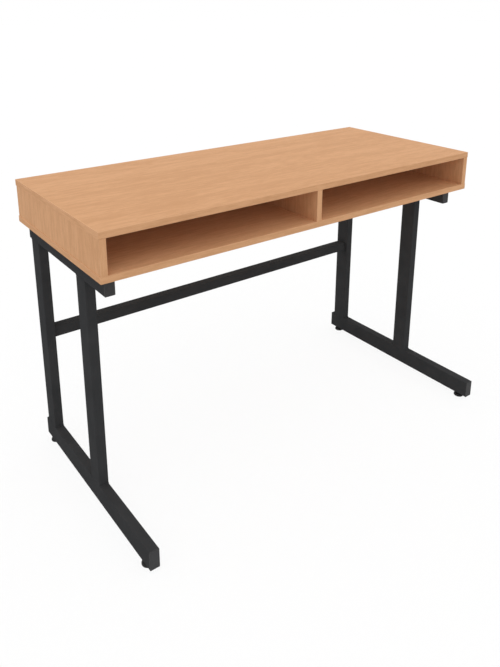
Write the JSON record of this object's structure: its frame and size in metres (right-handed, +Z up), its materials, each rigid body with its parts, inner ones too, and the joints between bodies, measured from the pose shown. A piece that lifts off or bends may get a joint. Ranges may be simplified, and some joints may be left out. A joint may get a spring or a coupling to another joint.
{
  "type": "student desk",
  "caption": "Student desk with a beech-faced box top holding open book compartments, on a black welded steel frame with levelling feet.",
  "frame": {"origin": "on the floor, under the middle of the desk's outline", "axes": "+X along the desk to the sitter's right, +Y from the sitter to the back, +Z up"},
  "size_m": [1.2, 0.613, 0.78],
  "materials": {
    "beech_laminate": "satin melamine face with a fine beech grain",
    "beech_edging": "satin beech-coloured plastic edge band",
    "black_frame": "fine-textured black powder coat",
    "black_plastic": "moulded black plastic, matt",
    "plated_steel": "bright zinc plate",
    "blackened_steel": "black zinc plate",
    "dowel_wood": "raw beech"
  },
  "bodies": {
    "desk": {"back_board": "beech_laminate", "bottom_board": "beech_laminate", "bottom_front_edging": "beech_edging", "bottom_left_edging": "beech_edging", "bottom_rear_edging": "beech_edging", "bottom_right_edging": "beech_edging", "carcass_screws": "plated_steel", "centre_divider": "beech_laminate", "cross_rail": "black_frame", "divider_edging": "beech_edging", "dowels": "dowel_wood", "foot_nuts": "plated_steel", "frame_screws": "plated_steel", "left_foot_front_cap": "black_plastic", "left_foot_rail": "black_frame", "left_foot_rear_cap": "black_plastic", "left_front_post": "black_frame", "left_rear_post": "black_frame", "left_side_board": "beech_laminate", "left_side_front_edging": "beech_edging", "left_side_rear_edging": "beech_edging", "left_top_rail": "black_frame", "left_top_rail_front_cap": "black_plastic", "left_top_rail_rear_cap": "black_plastic", "right_foot_front_cap": "black_plastic", "right_foot_rail": "black_frame", "right_foot_rear_cap": "black_plastic", "right_front_post": "black_frame", "right_rear_post": "black_frame", "right_side_board": "beech_laminate", "right_side_front_edging": "beech_edging", "right_side_rear_edging": "beech_edging", "right_top_rail": "black_frame", "right_top_rail_front_cap": "black_plastic", "right_top_rail_rear_cap": "black_plastic", "top_board": "beech_laminate", "top_front_edging": "beech_edging", "top_left_edging": "beech_edging", "top_rear_edging": "beech_edging", "top_right_edging": "beech_edging"},
    "front_left_foot": {"front_left_pad": "black_plastic"},
    "front_left_screw": {"front_left_spindle": "blackened_steel"},
    "rear_left_foot": {"rear_left_pad": "black_plastic"},
    "rear_left_screw": {"rear_left_spindle": "blackened_steel"},
    "front_right_foot": {"front_right_pad": "black_plastic"},
    "front_right_screw": {"front_right_spindle": "blackened_steel"},
    "rear_right_foot": {"rear_right_pad": "black_plastic"},
    "rear_right_screw": {"rear_right_spindle": "blackened_steel"}
  },
  "joints": [
    {"name": "front_left_height", "type": "slide", "parent": "desk", "child": "front_left_foot", "axis": [0, 0, -1], "range_m": [0, 0.01]},
    {"name": "front_left_turn", "type": "hinge", "parent": "front_left_foot", "child": "front_left_screw", "pos_m": [-0.5635, -0.272, 0], "axis": [0, 0, -1], "range_deg": [0, 2881]},
    {"name": "rear_left_height", "type": "slide", "parent": "desk", "child": "rear_left_foot", "axis": [0, 0, -1], "range_m": [0, 0.01]},
    {"name": "rear_left_turn", "type": "hinge", "parent": "rear_left_foot", "child": "rear_left_screw", "pos_m": [-0.5635, 0.2755, 0], "axis": [0, 0, -1], "range_deg": [0, 2881]},
    {"name": "front_right_height", "type": "slide", "parent": "desk", "child": "front_right_foot", "axis": [0, 0, -1], "range_m": [0, 0.01]},
    {"name": "front_right_turn", "type": "hinge", "parent": "front_right_foot", "child": "front_right_screw", "pos_m": [0.5635, -0.272, 0], "axis": [0, 0, -1], "range_deg": [0, 2881]},
    {"name": "rear_right_height", "type": "slide", "parent": "desk", "child": "rear_right_foot", "axis": [0, 0, -1], "range_m": [0, 0.01]},
    {"name": "rear_right_turn", "type": "hinge", "parent": "rear_right_foot", "child": "rear_right_screw", "pos_m": [0.5635, 0.2755, 0], "axis": [0, 0, -1], "range_deg": [0, 2881]}
  ],
  "couplings": [
    {"joint": "front_left_turn", "follows": "front_left_height", "rad_per_m": 5026.5},
    {"joint": "rear_left_turn", "follows": "rear_left_height", "rad_per_m": 5026.5},
    {"joint": "front_right_turn", "follows": "front_right_height", "rad_per_m": 5026.5},
    {"joint": "rear_right_turn", "follows": "rear_right_height", "rad_per_m": 5026.5}
  ]
}
